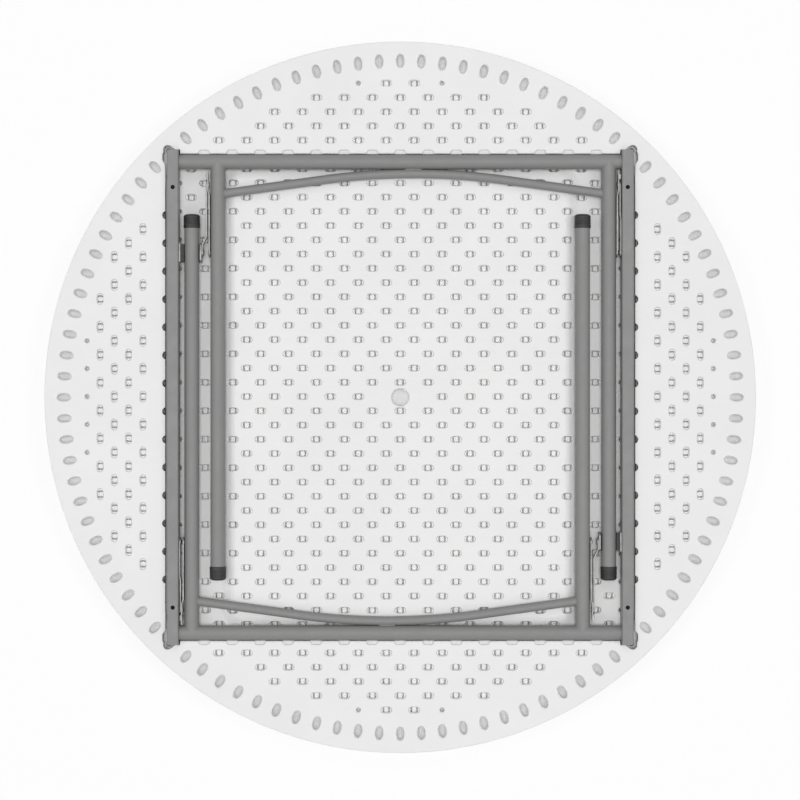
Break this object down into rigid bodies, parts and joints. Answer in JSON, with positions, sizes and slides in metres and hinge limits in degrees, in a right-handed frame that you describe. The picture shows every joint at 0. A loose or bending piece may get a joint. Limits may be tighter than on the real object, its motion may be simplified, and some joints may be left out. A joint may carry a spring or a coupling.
{
  "type": "folding table",
  "caption": "Round folding table, underside up: moulded top on its face, tubular leg sets folded into a recess between side rails, with knee braces.",
  "frame": {"origin": "centre of the top face, which lies on the floor", "axes": "+Z from the top face to the underside (up as stored, legs folded), +Y from the front leg set's hinge to the rear one's, +X to the right seen from above the underside with the rear at the top"},
  "size_m": [1.2198, 1.22, 0.057],
  "materials": {
    "white_plastic": "fine-grained blow-moulded polyethylene",
    "grey_enamel": "satin powder coat",
    "zinc_plate": "zinc-plated",
    "black_plastic": "moulded"
  },
  "bodies": {
    "table": {"tabletop": "white_plastic", "left_rail": "grey_enamel", "left_bracket": "zinc_plate", "left_leg_clip": "black_plastic", "right_rail": "grey_enamel", "right_bracket": "zinc_plate", "right_leg_clip": "black_plastic"},
    "rear_legs": {"rear_pivot_tube": "grey_enamel", "rear_left_leg": "grey_enamel", "rear_right_leg": "grey_enamel", "rear_stretcher": "grey_enamel", "rear_feet": "black_plastic"},
    "rear_left_leg_half": {"rear_left_leg_link": "zinc_plate"},
    "rear_left_anchor_half": {"rear_left_anchor_link": "zinc_plate"},
    "rear_right_leg_half": {"rear_right_leg_link": "zinc_plate"},
    "rear_right_anchor_half": {"rear_right_anchor_link": "zinc_plate"},
    "front_legs": {"front_pivot_tube": "grey_enamel", "front_left_leg": "grey_enamel", "front_right_leg": "grey_enamel", "front_stretcher": "grey_enamel", "front_feet": "black_plastic"},
    "front_left_leg_half": {"front_left_leg_link": "zinc_plate"},
    "front_left_anchor_half": {"front_left_anchor_link": "zinc_plate"},
    "front_right_leg_half": {"front_right_leg_link": "zinc_plate"},
    "front_right_anchor_half": {"front_right_anchor_link": "zinc_plate"}
  },
  "joints": [
    {"name": "rear_fold", "type": "hinge", "parent": "table", "child": "rear_legs", "pos_m": [0, 0.4037, 0.0395], "axis": [-1, 0, 0], "range_deg": [0, 97]},
    {"name": "rear_left_leg_half_swing", "type": "hinge", "parent": "rear_legs", "child": "rear_left_leg_half", "pos_m": [-0.32575, 0.2477, 0.0395], "axis": [-1, 0, 0], "range_deg": [0, 41.5]},
    {"name": "rear_left_anchor_half_swing", "type": "hinge", "parent": "table", "child": "rear_left_anchor_half", "pos_m": [-0.34005, 0.2477, 0.0395], "axis": [1, 0, 0], "range_deg": [0, 41.5]},
    {"name": "rear_right_leg_half_swing", "type": "hinge", "parent": "rear_legs", "child": "rear_right_leg_half", "pos_m": [0.37045, 0.2477, 0.0395], "axis": [-1, 0, 0], "range_deg": [0, 41.5]},
    {"name": "rear_right_anchor_half_swing", "type": "hinge", "parent": "table", "child": "rear_right_anchor_half", "pos_m": [0.37655, 0.2477, 0.0395], "axis": [1, 0, 0], "range_deg": [0, 41.5]},
    {"name": "front_fold", "type": "hinge", "parent": "table", "child": "front_legs", "pos_m": [0, -0.4037, 0.0395], "axis": [1, 0, 0], "range_deg": [0, 97]},
    {"name": "front_left_leg_half_swing", "type": "hinge", "parent": "front_legs", "child": "front_left_leg_half", "pos_m": [-0.37045, -0.2477, 0.0395], "axis": [1, 0, 0], "range_deg": [0, 41.5]},
    {"name": "front_left_anchor_half_swing", "type": "hinge", "parent": "table", "child": "front_left_anchor_half", "pos_m": [-0.37655, -0.2477, 0.0395], "axis": [-1, 0, 0], "range_deg": [0, 41.5]},
    {"name": "front_right_leg_half_swing", "type": "hinge", "parent": "front_legs", "child": "front_right_leg_half", "pos_m": [0.32575, -0.2477, 0.0395], "axis": [1, 0, 0], "range_deg": [0, 41.5]},
    {"name": "front_right_anchor_half_swing", "type": "hinge", "parent": "table", "child": "front_right_anchor_half", "pos_m": [0.34005, -0.2477, 0.0395], "axis": [-1, 0, 0], "range_deg": [0, 41.5]}
  ],
  "couplings": [
    {"joint": "rear_left_leg_half_swing", "follows": "rear_fold", "ratio": 0.4278},
    {"joint": "rear_left_anchor_half_swing", "follows": "rear_fold", "ratio": 0.4278},
    {"joint": "rear_right_leg_half_swing", "follows": "rear_fold", "ratio": 0.4278},
    {"joint": "rear_right_anchor_half_swing", "follows": "rear_fold", "ratio": 0.4278},
    {"joint": "front_left_leg_half_swing", "follows": "front_fold", "ratio": 0.4278},
    {"joint": "front_left_anchor_half_swing", "follows": "front_fold", "ratio": 0.4278},
    {"joint": "front_right_leg_half_swing", "follows": "front_fold", "ratio": 0.4278},
    {"joint": "front_right_anchor_half_swing", "follows": "front_fold", "ratio": 0.4278}
  ]
}
